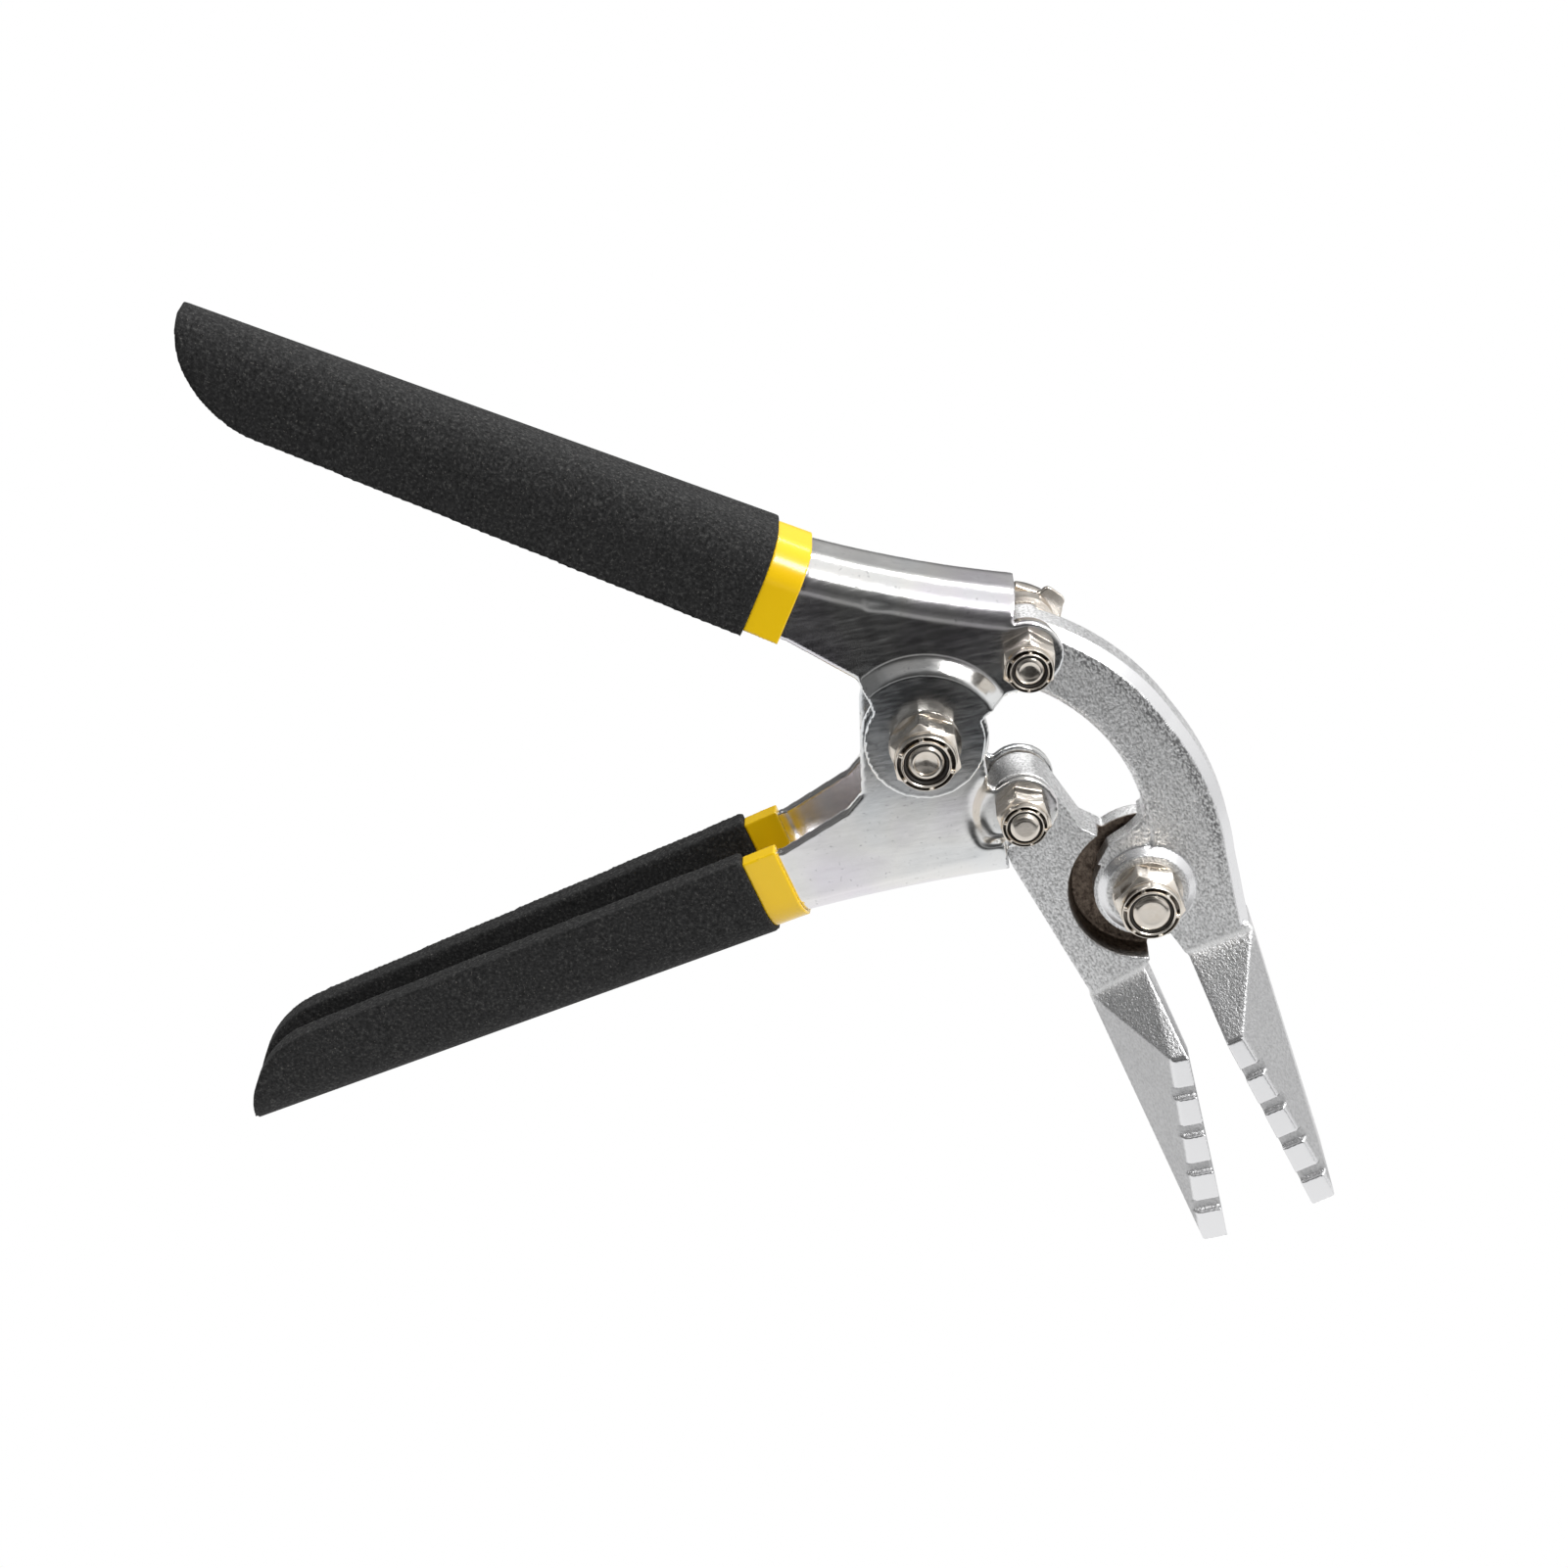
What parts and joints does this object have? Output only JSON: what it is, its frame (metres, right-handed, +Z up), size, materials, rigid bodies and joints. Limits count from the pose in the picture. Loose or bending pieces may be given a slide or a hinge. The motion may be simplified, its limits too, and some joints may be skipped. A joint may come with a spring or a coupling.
{
  "type": "sheet metal folding pliers",
  "caption": "Compound-action folding pliers with offset notched jaw plates, a curved linkage arm, channel handles and foam grips.",
  "frame": {"origin": "middle of the bounding box at its base, on the surface the tool stands on", "axes": "+X from the grips to the jaws, -Y towards the nut side, +Z up"},
  "size_m": [0.2512, 0.04, 0.1806],
  "materials": {
    "channel_plate": "bright zinc-plated pressed sheet with fine scratches",
    "grip_foam": "matte black foam with fine light specks",
    "band_plastic": "semi-gloss yellow",
    "forged_steel": "satin plated forging with a fine blasted grain",
    "nickel": "warm nickel plate",
    "lock_ring": "dark matte",
    "plain_steel": "plain drawn steel"
  },
  "bodies": {
    "lower_handle": {"lower_channel": "channel_plate", "lower_grip": "grip_foam", "lower_band": "band_plastic", "rear_bolt": "nickel", "rear_nut": "nickel", "rear_lock_ring": "lock_ring", "rear_washer": "nickel", "rear_sleeve": "plain_steel", "lower_bolt": "nickel", "lower_nut": "nickel", "lower_lock_ring": "lock_ring", "lower_spacers": "nickel", "return_spring": "plain_steel"},
    "upper_handle": {"upper_channel": "channel_plate", "upper_grip": "grip_foam", "upper_band": "band_plastic", "upper_bolt": "nickel", "upper_nut": "nickel", "upper_lock_ring": "lock_ring", "upper_spacers": "nickel", "latch_washer": "nickel"},
    "inner_jaw": {"inner_jaw": "forged_steel", "jaw_bolt": "nickel", "jaw_nut": "nickel", "jaw_lock_ring": "lock_ring", "jaw_shim": "nickel"},
    "outer_jaw": {"outer_jaw": "forged_steel"},
    "latch": {"latch": "nickel"}
  },
  "joints": [
    {"name": "handle_fold", "type": "hinge", "parent": "lower_handle", "child": "upper_handle", "pos_m": [0.02642, 0.0017, 0.10837], "axis": [0, -1, 0], "range_deg": [0, 20.7], "stiffness_Nm_per_rad": 3, "springref_deg": -17.19},
    {"name": "inner_jaw_turn", "type": "hinge", "parent": "lower_handle", "child": "inner_jaw", "pos_m": [0.04835, 0.0017, 0.09397], "axis": [0, -1, 0], "range_deg": [0, 30.2]},
    {"name": "outer_jaw_turn", "type": "hinge", "parent": "inner_jaw", "child": "outer_jaw", "pos_m": [0.07679, 0.0017, 0.07679], "axis": [0, -1, 0], "range_deg": [-13.7, 0]},
    {"name": "latch_turn", "type": "hinge", "parent": "upper_handle", "child": "latch", "pos_m": [0.04449, 0.0127, 0.12876], "axis": [0, -1, 0], "range_deg": [-25, 0]}
  ],
  "couplings": [
    {"joint": "inner_jaw_turn", "follows": "handle_fold", "ratio": 1.455},
    {"joint": "outer_jaw_turn", "follows": "handle_fold", "ratio": -0.66}
  ]
}
